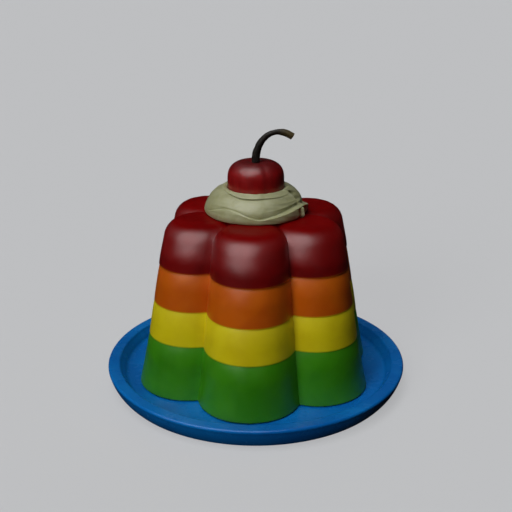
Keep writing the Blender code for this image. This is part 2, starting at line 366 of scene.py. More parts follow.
def blue_glaze():
    glaze = Finish("blue_glaze")
    pooled = glaze.cloud(POOL_SIZE, detail=2.0)
    colour = glaze.blend(glaze.span(pooled, 0.35, 0.65), GLAZE_BLUE, GLAZE_DEEP)
    near_edge = glaze.span(glaze.coordinate("Z"), THIN_BAND_LOW, THIN_BAND_HIGH)
    patches = glaze.span(glaze.cloud(THIN_PATCH_SIZE, warp=0.6), 0.45, 0.75)
    thin = glaze.times(glaze.times(near_edge, patches), 0.30)
    colour = glaze.blend(thin, colour, GLAZE_THIN)
    specks = glaze.span(glaze.cells(SPECK_CELL), 0.05, 0.12, 1.0, 0.0)
    colour = glaze.blend(glaze.times(specks, 0.25), colour, GLAZE_DEEP)
    smears = glaze.span(glaze.cloud(SMEAR_SIZE), 0.3, 0.7, 0.20, 0.30)
    glaze.set(Base_Color=colour, Roughness=smears, Specular_IOR_Level=0.2)
    glaze.set(Coat_Weight=0.10, Coat_Roughness=0.06, Coat_IOR=1.5)
    glaze.bump(glaze.cloud(RIPPLE_SIZE, detail=2.0), RIPPLE_DEPTH, 0.20)
    glaze.bump(glaze.cloud(PIT_SIZE, detail=2.0), PIT_DEPTH, 0.3)
    return glaze.material


# %% Plate: make it
plate_mesh = spin_profile(plate_profile(), PLATE_SPIN_STEPS)
wave_the_rim(plate_mesh)
make_piece("glazed_plate", plate_mesh, blue_glaze(), "plate")

# %% [markdown]
# ## The mould
#
# The jelly keeps the shape of its mould: six tapered flutes with round shoulders round a plain
# core, met by soft creases. Six bevelled cones and a boolean would give the flutes, but the creases
# where they melt into each other would need a bevel that turns along every one of them. It is
# simpler to describe the inside of the mould as a distance: below zero inside the gelatin, above
# zero outside. Two such distances are joined with a rounded minimum, which makes each crease soft
# all the way up and over the top.

# %% Mould: driving sizes
FLUTES = 6
JELLY_LOW, JELLY_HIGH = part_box("jelly_green")[0].z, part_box("jelly_red")[1].z
YELLOW_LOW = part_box("jelly_yellow")[0].z
ORANGE_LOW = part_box("jelly_orange")[0].z
RED_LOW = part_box("jelly_red")[0].z
SPREAD_LOW, SPREAD_HIGH = 0.0361, 0.0305
FLUTE_RADIUS_LOW, FLUTE_RADIUS_HIGH = 0.0239, 0.0184
SLUMP, SLUMP_HEIGHT = 0.0008, 0.0090
SHOULDER = 0.0068
FLUTE_DOME = 0.0004
CREASE = 0.0009
CORE_RADIUS, CORE_DROP = 0.0270, 0.0008
print("layers start at, in mm:", in_mm(JELLY_LOW, YELLOW_LOW, ORANGE_LOW, RED_LOW))


# %% Mould: the distance to its wall
def rounded_min(a, b, width):
    """The lower of two distances, with a soft crease where they are nearly equal."""
    overlap = max(width - abs(a - b), 0.0)
    return min(a, b) - overlap * overlap / (4.0 * width)


def round_edge(side, top, radius):
    """The distance to a side and a top that meet in a round edge."""
    outside = math.hypot(max(side + radius, 0.0), max(top + radius, 0.0))
    return min(max(side, top) + radius, 0.0) + outside - radius


def mould_distance(x, y, z):
    """The core and the six flutes, joined by soft creases."""
    share = (z - JELLY_LOW) / (RED_LOW - JELLY_LOW)
    spread = mix(SPREAD_LOW, SPREAD_HIGH, share)
    slumped = SLUMP * math.exp((JELLY_LOW - z) / SLUMP_HEIGHT)
    radius = mix(FLUTE_RADIUS_LOW, FLUTE_RADIUS_HIGH, share) + slumped
    distance = round_edge(math.hypot(x, y) - CORE_RADIUS, z - JELLY_HIGH + CORE_DROP, SHOULDER)
    for flute in range(FLUTES):
        angle = FRONT + flute * math.tau / FLUTES
        reach = math.hypot(x - spread * math.cos(angle), y - spread * math.sin(angle))
        top = z - JELLY_HIGH + FLUTE_DOME * (reach / radius) ** 2
        distance = rounded_min(distance, round_edge(reach - radius, top, SHOULDER), CREASE)
    return distance


# %% [markdown]
# A ray from the axis meets the wall of the mould once, so halving an interval again and again finds
# the place to far less than a thousandth of a millimetre. The lower rays run level, one ring for
# each level of height, closest at the foot where the edge is round. Above the orange layer they fan
# upwards round the shoulder to the middle of the top. The six flutes are alike and each is its own
# mirror image, so only the rays of half a flute are worked out and the rest reuse them.

# %% Mould: rays to the wall
RAY_HALVINGS = 24
FOOT_ROUND = 0.0007
FAN_ORIGIN = RED_LOW
WALL_LEVELS = 64
FAN_LEVELS = 44
FOOT_SPACING = 0.35
MOULD_SIDES = FLUTES * 48


@functools.cache
def ray_length(aside, origin, upwards):
    """How far the wall is along a ray, aside in angle from the middle of a flute."""
    angle = FRONT + aside
    low, high = 0.0, PLATE_RADIUS
    for _ in range(RAY_HALVINGS):
        middle = (low + high) / 2
        flat, rise = middle * math.cos(upwards), middle * math.sin(upwards)
        inside = mould_distance(flat * math.cos(angle), flat * math.sin(angle), origin + rise) < 0
        low, high = (middle, high) if inside else (low, middle)
    return low


def foot_inset(height):
    """The jelly's lowest edge is round, so its foot draws in a little."""
    rise = clamp(height / FOOT_ROUND)
    return FOOT_ROUND * (1.0 - math.sqrt(1.0 - (1.0 - rise) ** 2))


def mould_place(angle, level):
    aside = round(abs(math.remainder(angle - FRONT, math.tau / FLUTES)), 5)
    if level <= WALL_LEVELS:
        share = level / WALL_LEVELS
        share *= mix(FOOT_SPACING, 1.0, ease(share * 2.0))
        origin, upwards = mix(JELLY_LOW, FAN_ORIGIN, share), 0.0
    else:
        origin, upwards = FAN_ORIGIN, math.pi / 2 * ((level - WALL_LEVELS) / FAN_LEVELS)
    length = ray_length(aside, origin, upwards)
    flat = length * math.cos(upwards) - foot_inset(origin - JELLY_LOW)
    if level == WALL_LEVELS + FAN_LEVELS:
        flat = 0.0
    return flat * math.cos(angle), flat * math.sin(angle), origin + length * math.sin(upwards)


# %% [markdown]
# Gelatin gives way under its own weight, and no mould is perfectly true. A very slow, very shallow
# noise keeps the six flutes from being copies of each other. It is a fifth of a millimetre at most,
# so the shape stays what the mould made it.

# %% Mould: small unevenness
SAG = 0.00022
SAG_SIZE = 0.030


def push_out(vert, distance):
    """Moves a vertex away from the axis, less and less towards the middle."""
    flat = Vector((vert.co.x, vert.co.y, 0.0))
    if flat.length > MERGE_DISTANCE:
        vert.co += flat.normalized() * distance * clamp(flat.length / CORE_RADIUS)


mould = plain_tube(MOULD_SIDES, WALL_LEVELS + FAN_LEVELS)
bend_tube(mould, mould_place)
for vert in mould.verts:
    push_out(vert, SAG * lump(vert.co, SAG_SIZE, seed=8.3))
close_up(mould)
print("the moulded form has", len(mould.faces), "faces")

# %% [markdown]
# ## Four layers
#
# Each layer was poured when the one before it had just set, so all four share the mould's wall and
# meet in level, crisp lines. The whole form is copied four times and cut with level planes, and
# each cut is closed again: a layer is a solid slice, as it would be if the jelly were taken apart.
# The slices stand two hundredths of a millimetre clear of each other, far less than can be seen.

# %% Layers: cut the form
LAYER_CLEARANCE = 0.00002


def slice_of_mould(low, high):
    """The part of the form between two heights. None leaves it whole on that side."""
    bm = mould.copy()
    for height, upwards in ((low, -1.0), (high, 1.0)):
        if height is not None:
            bmesh.ops.bisect_plane(
                bm,
                geom=bm.verts[:] + bm.edges[:] + bm.faces[:],
                dist=MERGE_DISTANCE / 10,
                plane_co=(0.0, 0.0, height),
                plane_no=(0.0, 0.0, upwards),
                clear_outer=True,
            )
    return bm


# %% [markdown]
# The layers are soft, and each carries the ones above it, so each swells a little between its two
# edges. That is hard to measure but easy to see: the light breaks at every line, with a paler band
# just under it. So the upper edge of each slice is drawn in by a third of a millimetre and its
# lower edge by less, both dying out over a few millimetres. The red layer has no upper edge: its
# wall leans in gently towards the shoulder.


# %% Layers: let them swell
HEAD_INSET = 0.00034
FOOT_DRAW = 0.00010
EDGE_REACH = 0.0020
BELLY = 0.00030
BELLY_HEIGHT = 0.0180


def edge_inset(z, low, high):
    """How far the wall is drawn in at a height."""
    inset = 0.0
    if high:
        inset += HEAD_INSET * math.exp((z - high) / EDGE_REACH)
    else:
        inset -= BELLY * math.cos(math.pi * clamp((z - low) / BELLY_HEIGHT))
    if low:
        inset += FOOT_DRAW * math.exp((low - z) / EDGE_REACH)
    return inset


def swell(bm, low, high):
    for vert in bm.verts:
        push_out(vert, -edge_inset(vert.co.z, low, high))
    close_up(bm)


# %% [markdown]
# ## Gelatin
#
# Set gelatin is smooth, and see-through only a little way in: light enters, spreads sideways and
# comes out coloured. A glass shader would be too clear, because each layer here was made cloudy. A
# solid colour with a little subsurface scattering does it: the scattering distance is longest for
# the layer's own colour. The gloss is soft, and dullest on the flat top, where the end of the mould
# left it matt. The colour is never even: faint clouds, fine bubbles, and at the very bottom a
# little of the colour of the layer under it. Towards the top of each pour, soft paler patches are
# painted in as painted light.
#
# In the photo the light rests as one soft patch near the top of each layer. That is the layer's
# swelling once more, and to model all of it would spoil the outline. So the rest of it is a broad,
# smooth bump: the shading leans back towards the layer's upper edge while the wall itself stays
# where it is.

# %% Gelatin: one finish for four colours
CLOUD_SIZE = 0.016
# Size of the patches of painted light near the top of each pour.
TOP_LIGHT_PATCH_SIZE = 0.011
BUBBLE_CELL = 0.0024
BLEED = 0.0007
SMOOTH_PATCH_SIZE = 0.007
JELLY_SHINE, MATT_SHINE = 0.75, 0.05
MATT_LOW, MATT_HIGH = JELLY_HIGH - 0.0035, JELLY_HIGH - 0.0008
LEAN_REACH = 0.0095
DENT_SIZE, DENT_DEPTH = 0.014, 0.0005
GRAIN_SIZE, GRAIN_DEPTH = 0.0022, 0.00006


def gelatin(name, colours, low, high, below, spread_of_light, lean_height, lean):
    body, deep, pale = colours
    jelly = Finish(name)
    height = jelly.coordinate("Z")
    clouds = jelly.span(jelly.cloud(CLOUD_SIZE, warp=0.4), 0.35, 0.68)
    colour = jelly.blend(clouds, body, deep)
    # Painted light: soft paler patches towards the top of each pour.
    top_light_patches = jelly.span(height, mix(low, high, 0.35), high)
    top_light_patches = jelly.times(top_light_patches, jelly.span(jelly.cloud(TOP_LIGHT_PATCH_SIZE), 0.30, 0.70, 0.10, 0.35))
    colour = jelly.blend(top_light_patches, colour, pale)
    bubbles = jelly.span(jelly.cells(BUBBLE_CELL), 0.06, 0.14, 1.0, 0.0)
    colour = jelly.blend(jelly.times(bubbles, 0.22), colour, pale)
    if below:
        bled = jelly.span(height, low, low + BLEED, 0.55, 0.0)
        colour = jelly.blend(bled, colour, below[0])
    patches = jelly.span(jelly.cloud(SMOOTH_PATCH_SIZE), 0.3, 0.7, 0.33, 0.41)
    jelly.set(Base_Color=colour, Roughness=patches, IOR=1.45, Specular_IOR_Level=JELLY_SHINE)
    jelly.set(Subsurface_Weight=0.25, Subsurface_Radius=spread_of_light, Subsurface_Scale=0.002)
    if high == JELLY_HIGH:
        matt_top = jelly.span(height, MATT_LOW, MATT_HIGH, JELLY_SHINE, MATT_SHINE)
        jelly.set(Specular_IOR_Level=matt_top)
    leaning = jelly.span(height, lean_height - LEAN_REACH, lean_height + LEAN_REACH, 1.0, 0.0)
    jelly.bump(leaning, lean)
    jelly.bump(jelly.cloud(DENT_SIZE, detail=2.0), DENT_DEPTH, 0.30)
    jelly.bump(jelly.cloud(GRAIN_SIZE), GRAIN_DEPTH, 0.35)
    return jelly.material


# %% Gelatin: the four pours, from the foot up
GREEN = paint(56, 136, 5), paint(46, 124, 3), paint(72, 150, 20)
YELLOW = paint(227, 210, 16), paint(216, 196, 10), paint(234, 220, 40)
ORANGE = paint(209, 99, 4), paint(198, 88, 3), paint(218, 116, 20)
RED = paint(122, 2, 3), paint(108, 1, 2), paint(134, 6, 6)

# Colours, foot, head, the pour below, how far red, green and blue light spread, and where the
# shading leans back and how far.
POURS = {
    "green": (GREEN, None, YELLOW_LOW, None, (0.35, 1.0, 0.15), YELLOW_LOW, 0.0023),
    "yellow": (YELLOW, YELLOW_LOW, ORANGE_LOW, GREEN, (1.0, 0.9, 0.2), ORANGE_LOW, 0.0018),
    "orange": (ORANGE, ORANGE_LOW, RED_LOW, YELLOW, (1.0, 0.45, 0.1), RED_LOW, 0.0027),
    "red": (RED, RED_LOW, None, ORANGE, (1.0, 0.12, 0.1), JELLY_HIGH - 0.0080, 0.0046),
}

# %% Layers: make them
for pour, (colours, low, high, below, spread_of_light, lean_height, lean) in POURS.items():
    slot = pour + "_jelly"
    foot, head = low or JELLY_LOW, high or JELLY_HIGH
    finish = gelatin(slot, colours, foot, head, below, spread_of_light, lean_height, lean)
    layer_mesh = slice_of_mould(low, high and high - LAYER_CLEARANCE)
    swell(layer_mesh, low, high)
    make_piece(pour + "_layer", layer_mesh, finish, "jelly_" + pour)
mould.free()

# %% [markdown]
# ## The cream
#
# A spoonful of thick cream, laid on in one turning movement: a low dome with two soft folds that
# wind round it, where the cream was pushed over itself, and the trace of the spoon where it left.
# Piping it as a rope round a spiral would give round coils, which this cream doesn't have. It is
# made as a dome of rings, and the folds are pressed in: over a seam the surface steps in and swells
# out again, and under it the lower fold bulges. Each seam is a short route of (angle, height,
# depth), in degrees and millimetres, joined by a smooth curve.

# %% Cream: driving sizes
CREAM_LOW, CREAM_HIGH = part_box("cream")[0].z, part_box("cream")[1].z
CREAM_RADIUS = 0.0248
CREAM_DOME = 0.0164
CREAM_CREST = CREAM_HIGH - CREAM_LOW
CREAM_TUCK = 0.0007
TURNED = math.radians(4.8)
LOWER_FOLD = (
    (200, 2.2, 0.0),
    (217, 4.3, 0.8),
    (230, 5.5, 1.1),
    (240, 5.8, 1.1),
    (250, 5.0, 0.9),
    (262, 3.4, 0.7),
    (274, 2.3, 0.8),
    (286, 2.9, 1.1),
    (300, 3.9, 1.5),
    (320, 5.1, 2.1),
    (335, 5.4, 2.6),
    (346, 4.8, 2.7),
    (360, 2.9, 2.4),
    (380, 1.8, 1.5),
    (410, 1.0, 0.5),
    (450, 0.8, 0.0),
)
BACK_FOLD = (
    (385, 6.2, 0.0),
    (410, 6.7, 1.0),
    (450, 7.8, 1.6),
    (540, 11.2, 0.3),
)
UPPER_FOLD = (
    (195, 12.4, 0.1),
    (216, 11.7, 0.7),
    (240, 10.9, 1.2),
    (256, 10.5, 1.3),
    (285, 10.6, 0.8),
    (315, 10.6, 0.3),
    (350, 11.2, 0.0),
)
print("cream from and to, in mm:", in_mm(CREAM_LOW, CREAM_HIGH))


# %% Cream: a seam's route
def along(route, angle):
    """A seam's height and depth in metres at an angle in degrees, or None past its ends."""
    for i in range(len(route) - 1):
        if route[i][0] <= angle <= route[i + 1][0]:
            before, after = max(i - 1, 0), min(i + 2, len(route) - 1)
            points = (route[before], route[i], route[i + 1], route[after])
            t = (angle - route[i][0]) / (route[i + 1][0] - route[i][0])
            weights = (
                t * (t * (2 - t) - 1),
                t * t * (3 * t - 5) + 2,
                t * (t * (4 - 3 * t) + 1),
                t * t * (t - 1),
            )
            pairs = list(zip(weights, points))
            return [sum(w * point[axis] for w, point in pairs) / 2000 for axis in (1, 2)]
    return None


# %% [markdown]
# The two folds are not alike. At the lower one the cream under the seam stands out and ends in a
# crisp edge, and the cream above it starts further in. On the left that step closes again within a
# millimetre, like a line drawn with a knife, and towards the right it opens into a real shelf. At
# the upper one the lip round the cherry hangs a little over the body, which leaves a dark line
# under it. A third fold, at the back, is the lower one's other end, higher up and shallow.

# %% Cream: the folds
EDGE_STANDS_OUT = 0.40
SKIRT_REACH = 0.0018
EDGE_ROUNDING = 0.00016
CLOSES_LEFT, CLOSES_RIGHT = 0.0005, 0.0036
OPENS_FROM, OPENS_OVER = 262.0, 50.0
LIP_STANDS_OUT = 0.35
UNDERCUT_REACH = 0.0013


def lower_fold(angle, height):
    """The relief of the lower fold, which runs on past a full turn, and of the back one."""
    relief = 0.0
    further = angle + 360.0
    for route, degrees in ((LOWER_FOLD, angle), (LOWER_FOLD, further), (BACK_FOLD, further)):
        seam = along(route, degrees)
        if seam:
            above = height - seam[0]
            if above < 0.0:
                relief += seam[1] * EDGE_STANDS_OUT * math.exp(above / SKIRT_REACH)
            else:
                opened = ease((degrees - OPENS_FROM) / OPENS_OVER)
                closes = mix(CLOSES_LEFT, CLOSES_RIGHT, opened)
                gone = math.exp(-above / EDGE_ROUNDING)
                step_in = (1.0 - gone) * math.exp(-above / closes)
                relief += seam[1] * (EDGE_STANDS_OUT * gone - step_in)
    return relief


def upper_fold(angle, height):
    seam = along(UPPER_FOLD, angle)
    if not seam:
        return 0.0
    above = height - seam[0]
    if above < 0.0:
        return -seam[1] * math.exp(above / UNDERCUT_REACH)
    return seam[1] * (LIP_STANDS_OUT - (1.0 + LIP_STANDS_OUT) * math.exp(-above / EDGE_ROUNDING))


# %% [markdown]
# Where the spoon left, on the right, the cream tore. High up the swirl ends in an upright edge, and
# behind it the surface drops away by a few millimetres and comes back slowly, over about a twelfth
# of a turn. In the skirt the strip ends as well, and a thin strand stands in the gap. Each is a
# relief that depends on the angle past the tear, faded in and out by height.

# %% Cream: where the spoon left
TEAR_ANGLE, TEAR_DEPTH, TEAR_RETURN = 332.0, 0.0046, 16.0
TEAR_LOW, TEAR_HIGH, TEAR_CLOSES = 0.0060, 0.0124, 0.0032
TAIL_ANGLE, TAIL_DEPTH, TAIL_RETURN = 324.0, 0.0014, 18.0
STRAND_ANGLE, STRAND_WIDTH, STRAND_RISE = 331.5, 2.3, 0.0024
TEAR_SHARPNESS = 1.6
TEAR_LIP, TEAR_LIP_REACH = 0.15, 6.0
UPRIGHT_FADE = 0.0010


def tear(angle, start, depth, back):
    """A low lip before the start, and a drop behind it."""
    past = math.remainder(angle - start, 360.0)
    if past < 0.0:
        return TEAR_LIP * depth * math.exp(past / TEAR_LIP_REACH)
    gone = math.exp(-past / TEAR_SHARPNESS)
    return depth * (TEAR_LIP * gone - (1.0 - gone) * math.exp(-((past / back) ** 2)))


def upright_folds(angle, height):
    high = ease((height - TEAR_LOW) / UPRIGHT_FADE) * ease((TEAR_HIGH - height) / TEAR_CLOSES)
    seam = along(LOWER_FOLD, angle + (360.0 if angle < LOWER_FOLD[0][0] else 0.0))
    low = ease((seam[0] - height) / UPRIGHT_FADE) if seam else 0.0
    strand = math.remainder(angle - STRAND_ANGLE, 360.0) / STRAND_WIDTH
    relief = high * tear(angle, TEAR_ANGLE, TEAR_DEPTH, TEAR_RETURN)
    relief += low * tear(angle, TAIL_ANGLE, TAIL_DEPTH, TAIL_RETURN)
    return relief + low * STRAND_RISE * math.exp(-strand * strand)


# %% [markdown]
# Two more folds are hardly more than strokes: they run from the front towards the tear, where the
# cream was gathered, and stand up by less than a millimetre.

# %% Cream: the gathered strokes
LOW_STROKE = (
    (268, 5.2, 0.0),
    (290, 6.0, 0.3),
    (315, 6.8, 0.5),
    (338, 7.4, 0.6),
    (352, 7.6, 0.0),
)
HIGH_STROKE = (
    (282, 8.8, 0.0),
    (300, 8.4, 0.3),
    (320, 8.1, 0.5),
    (338, 8.2, 0.5),
    (352, 8.4, 0.0),
)
STROKE_REACH = 0.0011
STROKE_STEEPER_ABOVE = 1.6


def strokes(angle, height):
    relief = 0.0
    for route in (LOW_STROKE, HIGH_STROKE):
        crest = along(route, angle)
        if crest:
            above = (height - crest[0]) / STROKE_REACH
            steepness = STROKE_STEEPER_ABOVE if above > 0.0 else 1.0
            relief += crest[1] * math.exp(-abs(above) * steepness)
    return relief


# %% [markdown]
# Real cream also keeps the drag of the spoon as faint streaks along the way it moved, and small
# lumps of its own. Both are far smaller than the folds, yet they make the surface look soft rather
# than cast. They are true relief in the mesh, so that they catch the light from every side.

# %% Cream: streaks and lumps
CREAM_SIDES = 400
CREAM_LEVELS = 150
NEST_LEVELS = 16
LUMPS, LUMP_SIZE = 0.00034, 0.006
FINE_LUMPS, FINE_LUMP_SIZE = 0.35 * LUMPS, 0.0023
STREAKS = 0.00016
STREAK_LENGTH, STREAK_WIDTH = 0.016, 0.0013
STREAK_CLIMB, STREAK_TURN = 0.0030, 0.7


def cream_radius(angle, height):
    dome = CREAM_RADIUS * math.sqrt(1.0 - (height / CREAM_DOME) ** 2)
    turned = math.degrees(angle - TURNED) % 360.0
    tucked = CREAM_TUCK * math.exp(-height / CREAM_TUCK)
    spot = (dome * math.cos(angle), dome * math.sin(angle), height)
    lumps = LUMPS * lump(spot, LUMP_SIZE, seed=5.2)
    lumps += FINE_LUMPS * lump(spot, FINE_LUMP_SIZE, seed=1.9)
    climb = height + STREAK_CLIMB * math.sin(angle + STREAK_TURN)
    drawn_out = (spot[0] / STREAK_LENGTH, spot[1] / STREAK_LENGTH, climb / STREAK_WIDTH)
    streaks = STREAKS * lump(drawn_out, 1.0, seed=2.4)
    folds = lower_fold(turned, height) + upper_fold(turned, height) + upright_folds(turned, height)
    return dome - tucked + folds + strokes(turned, height) + lumps + streaks


# %% [markdown]
# The cherry was pressed into the cream, so the cream rises round it as a lip and holds its exact
# shape inside. The rings go up the outside, over the lip, and down the hollow, which is the
# cherry's own curve with a hair of room. The lip's height wanders a little, as a pushed-up edge's
# does. Cutting the hollow with a boolean would leave a sharp lip and long thin faces.

# %% Cream: the nest for the cherry
CHERRY_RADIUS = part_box("cherry")[1].x
CHERRY_LOW, CHERRY_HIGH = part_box("cherry")[0].z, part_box("cherry")[1].z
CHERRY_DEPTH, CHERRY_RISE = 0.0138, 0.0095
CHERRY_WIDEST = CHERRY_LOW + CHERRY_DEPTH
CHERRY_FULLNESS = 2.8
NEST_ROOM = 0.00025
LIP_RISE = 0.00025
LIP_RAGGED, LIP_WAVE_SIZE = 0.0004, 0.14
LIP_FROM = 0.86


def nest_radius(z):
    share = clamp((CHERRY_WIDEST - z) / (CHERRY_DEPTH + NEST_ROOM))
    return (CHERRY_RADIUS + NEST_ROOM) * (1.0 - share**CHERRY_FULLNESS) ** (1.0 / CHERRY_FULLNESS)


def cream_place(angle, level):
    if level <= CREAM_LEVELS:
        height = CREAM_CREST * math.sin(math.pi / 2 * level / CREAM_LEVELS)
        radius, z = cream_radius(angle, height), CREAM_LOW + height
        ragged = lump((math.cos(angle), math.sin(angle), 0.0), LIP_WAVE_SIZE, seed=9.1)
        near_lip = ease((height / CREAM_CREST - LIP_FROM) / (1.0 - LIP_FROM))
        z -= LIP_RAGGED * (0.5 + 0.5 * ragged) * near_lip
    else:
        share = (level - CREAM_LEVELS) / NEST_LEVELS
        bottom = CHERRY_LOW - NEST_ROOM
        z = mix(CREAM_HIGH + LIP_RISE, bottom, math.sin(math.pi / 2 * share))
        radius = 0.0 if level == CREAM_LEVELS + NEST_LEVELS else nest_radius(z)
    return radius * math.cos(angle), radius * math.sin(angle), z


# %% [markdown]
# ## Whipped cream as a material
#
# Cream is the palest piece and yet the softest to light: fat droplets scatter it at once, so the
# shade between the folds is never black. A short scattering distance, a slightly yellow-green white
# and a dull sheen give that. Two bumps, one for tiny air bubbles and one for grain, break up the
# smooth mesh close by.

# %% Cream: finish
CREAM_TONE = paint(174, 175, 135)
CREAM_SHADE = paint(165, 166, 122)
CREAM_LIGHT = paint(182, 183, 149)
SHADE_SIZE, FLECK_SIZE, SHEEN_SIZE = 0.007, 0.0035, 0.003
FROTH_GRAIN_SIZE, FROTH_GRAIN_DEPTH = 0.0009, 0.00010
AIR_CELL, AIR_DEPTH = 0.0006, 0.00004


def whipped_cream():
    cream = Finish("whipped_cream")
    shades = cream.span(cream.cloud(SHADE_SIZE, warp=0.5), 0.35, 0.65)
    colour = cream.blend(shades, CREAM_TONE, CREAM_SHADE)
    flecks = cream.span(cream.cloud(FLECK_SIZE), 0.50, 0.75, 0.0, 0.5)
    colour = cream.blend(flecks, colour, CREAM_LIGHT)
    sheen = cream.span(cream.cloud(SHEEN_SIZE), 0.3, 0.7, 0.40, 0.52)
    cream.set(Base_Color=colour, Roughness=sheen, Specular_IOR_Level=0.6)
    cream.set(Subsurface_Weight=0.35, Subsurface_Radius=(1.0, 0.9, 0.6), Subsurface_Scale=0.0016)
    cream.bump(cream.cloud(FROTH_GRAIN_SIZE), FROTH_GRAIN_DEPTH, 0.45)
    cream.bump(cream.cells(AIR_CELL), AIR_DEPTH, 0.35)
    return cream.material


# %% Cream: make it
cream_mesh = plain_tube(CREAM_SIDES, CREAM_LEVELS + NEST_LEVELS)
bend_tube(cream_mesh, cream_place)
close_up(cream_mesh)
make_piece("cream_swirl", cream_mesh, whipped_cream(), "cream", 60.0)

# %% [markdown]
# ## The cherry
#
# A large sweet cherry, a little wider than high, with a dimple where the stem grows and a faint
# seam down one side. It is a profile turned about its axis: a curve between an ellipse and a
# square, fuller below its widest place than above. After the spin the seam is pressed in by moving
# the vertices near one meridian inwards, and a slow noise keeps the rest from being perfectly
# round.

# %% Cherry: profile
DIMPLE_DEPTH, DIMPLE_WIDTH = 0.0017, 0.0046
CHERRY_BANDS, CHERRY_STEPS = 64, 128


def dimple(radius):
    return DIMPLE_DEPTH * math.exp(-((radius / DIMPLE_WIDTH) ** 2))


def cherry_profile():
    power = 2.0 / CHERRY_FULLNESS
    points = [(0.0, CHERRY_WIDEST + CHERRY_RISE - DIMPLE_DEPTH)]
    for i in range(1, CHERRY_BANDS):
        angle = math.pi / 2 - i * math.pi / CHERRY_BANDS
        radius = CHERRY_RADIUS * math.cos(angle) ** power
        share = abs(math.sin(angle)) ** power
        height = CHERRY_RISE * share - dimple(radius) if angle > 0 else -CHERRY_DEPTH * share
        points.append((radius, CHERRY_WIDEST + height))
    return points + [(0.0, CHERRY_LOW)]


# %% Cherry: the seam down its side
SUTURE_ANGLE = math.radians(-62.0)
SUTURE_WIDTH, SUTURE_DEPTH = 0.0016, 0.00028
CHERRY_UNEVEN, CHERRY_UNEVEN_SIZE = 0.00018, 0.010


def press_suture(bm):
    for vert in bm.verts:
        radius = math.hypot(vert.co.x, vert.co.y)
        if radius > MERGE_DISTANCE:
            turned = math.remainder(math.atan2(vert.co.y, vert.co.x) - SUTURE_ANGLE, math.tau)
            pressed = SUTURE_DEPTH * math.exp(-((turned * radius / SUTURE_WIDTH) ** 2))
            pressed += CHERRY_UNEVEN * (0.5 + 0.5 * lump(vert.co, CHERRY_UNEVEN_SIZE, seed=6.6))
            kept = 1.0 - pressed * clamp(radius / DIMPLE_WIDTH) / radius
            vert.co.x *= kept
            vert.co.y *= kept


# %% [markdown]
# ## Cherry skin
#
# The skin is thin and taut over dark flesh. Its red isn't even: it deepens in long streaks from
# pole to pole, and pale pin-prick pores dot it. The top round the stem is painted darker, as
# painted shade.
# The streaks are noise stretched along the upright axis, and the pores are the centres of a cell
# pattern. The gloss is soft, as on a washed and dried cherry: a broad one from the skin itself, and
# a little clear coat over it.

# %% Cherry: finish
CHERRY_RED = paint(150, 6, 10)
CHERRY_DARK = paint(122, 3, 6)
# Painted shade: the skin darkens towards this colour at its top, round the stem.
CHERRY_TOP_SHADE = paint(84, 4, 8)
CHERRY_PORE = paint(168, 60, 52)
SKIN_STREAK_SIZE, SKIN_STREAK_STRETCH = 0.0028, (1.0, 1.0, 0.22)
TOP_SHADE_FROM, TOP_SHADE_TO = CHERRY_HIGH - 0.0050, CHERRY_HIGH - 0.0005
PORE_CELL, PORE_DEPTH = 0.0013, 0.00002
SKIN_PATCH_SIZE = 0.004
SKIN_DENT_SIZE, SKIN_DENT_DEPTH = 0.0045, 0.00018


def cherry_skin():
    skin = Finish("cherry_skin")
    streaks = skin.cloud(SKIN_STREAK_SIZE, stretch=SKIN_STREAK_STRETCH, warp=0.3)
    colour = skin.blend(skin.span(streaks, 0.35, 0.70, 0.0, 0.6), CHERRY_RED, CHERRY_DARK)
    # Painted shade on the top of the cherry, round the stem.
    painted_shade_near_stem = skin.span(skin.coordinate("Z"), TOP_SHADE_FROM, TOP_SHADE_TO, 0.0, 0.75)
    colour = skin.blend(painted_shade_near_stem, colour, CHERRY_TOP_SHADE)
    pores = skin.span(skin.cells(PORE_CELL), 0.07, 0.15, 0.45, 0.0)
    colour = skin.blend(pores, colour, CHERRY_PORE)
    patches = skin.span(skin.cloud(SKIN_PATCH_SIZE), 0.3, 0.7, 0.36, 0.46)
    skin.set(Base_Color=colour, Roughness=patches, Specular_IOR_Level=0.6)
    skin.set(Subsurface_Weight=0.15, Subsurface_Radius=(1.0, 0.15, 0.1), Subsurface_Scale=0.0025)
    skin.set(Coat_Weight=0.15, Coat_Roughness=0.12, Coat_IOR=1.42)
    skin.bump(skin.cloud(SKIN_DENT_SIZE, detail=2.0), SKIN_DENT_DEPTH, 0.35)
    skin.bump(skin.cells(PORE_CELL), PORE_DEPTH, 0.30)
    return skin.material


# %% Cherry: make it
cherry_mesh = spin_profile(cherry_profile(), CHERRY_STEPS)
press_suture(cherry_mesh)
make_piece("cherry_fruit", cherry_mesh, cherry_skin(), "cherry", 60.0)

# %% [markdown]
# ## The stem
#
# A cherry stem is a thin, tough twig: thick where it holds the fruit, thin along its neck, and
# swollen into a rough knob where it broke from the branch. A curve with a round bevel would do for
# an even wire. A tube of rings is used instead, because each ring can have its own radius and its
# own small lumps.

# %% Stem: its line and its thickness
STEM_BEND = ((-0.0006, 0.1213), (0.0076, 0.1301))
STEM_TIP = (0.0173, 0.1236)
STEM_FOOT_RADIUS, STEM_NECK_RADIUS, STEM_KNOB_RADIUS = 0.0021, 0.00135, 0.0018
STEM_NECK, STEM_KNOB = 0.70, 0.90
STEM_CLEARANCE = 0.0003
STEM_FOOT = CHERRY_WIDEST + CHERRY_RISE - dimple(STEM_FOOT_RADIUS) + STEM_CLEARANCE
STEM_SIDES, STEM_LEVELS = 20, 72
STEM_CAP_LEVELS = 4


